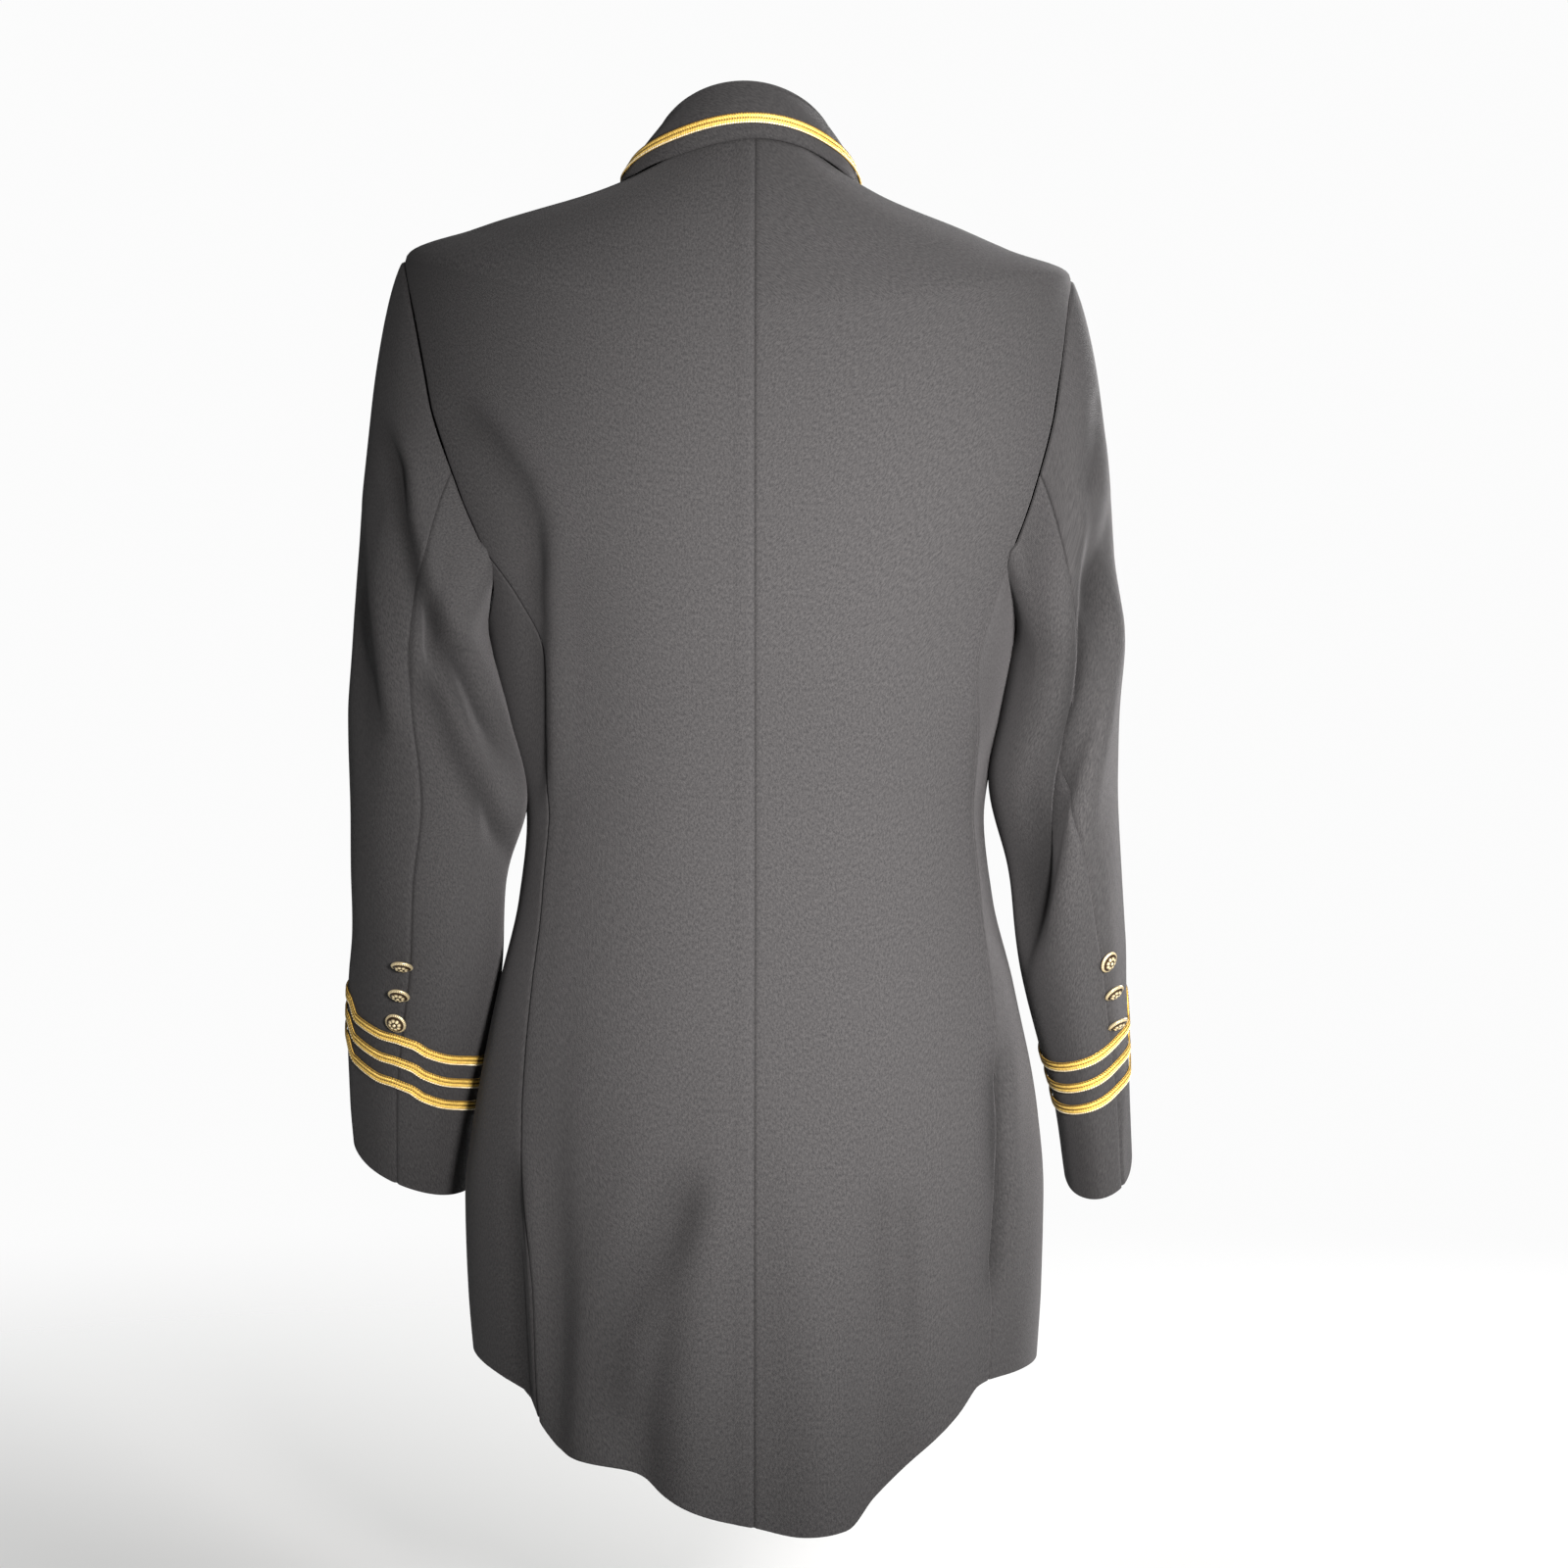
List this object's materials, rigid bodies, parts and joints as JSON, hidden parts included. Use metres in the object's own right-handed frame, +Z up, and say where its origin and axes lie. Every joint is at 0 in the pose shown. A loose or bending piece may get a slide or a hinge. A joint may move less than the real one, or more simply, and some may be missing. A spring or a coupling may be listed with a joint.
{
  "type": "uniform jacket",
  "caption": "Long fitted single-breasted uniform jacket, hollow and filled out as if worn, with gold braid on collar and cuffs and domed gold buttons.",
  "frame": {"origin": "middle of the neck at the height of the shoulders, where the wearer's shoulders carry the jacket", "axes": "+Z up, -Y the way the wearer faces, +X the wearer's left arm"},
  "size_m": [0.5082, 0.2614, 0.8736],
  "materials": {
    "wool": "fine dark wool twill with a soft nap",
    "gold_braid": "woven gold thread",
    "gold_metal": "gilt, slightly worn"
  },
  "bodies": {
    "root": {"back_left": "wool", "back_right": "wool", "side_left": "wool", "side_right": "wool", "front_left": "wool", "front_right": "wool", "lapel_left": "wool", "lapel_right": "wool", "upper_sleeve_left": "wool", "upper_sleeve_right": "wool", "under_sleeve_left": "wool", "under_sleeve_right": "wool", "collar": "wool", "collar_braid": "gold_braid", "cuff_braid_left_1": "gold_braid", "cuff_braid_left_2": "gold_braid", "cuff_braid_left_3": "gold_braid", "cuff_braid_right_1": "gold_braid", "cuff_braid_right_2": "gold_braid", "cuff_braid_right_3": "gold_braid", "cuff_button_left_1": "gold_metal", "cuff_button_left_2": "gold_metal", "cuff_button_left_3": "gold_metal", "cuff_button_right_1": "gold_metal", "cuff_button_right_2": "gold_metal", "cuff_button_right_3": "gold_metal", "front_button_1": "gold_metal", "front_button_2": "gold_metal", "front_button_3": "gold_metal"}
  },
  "joints": []
}
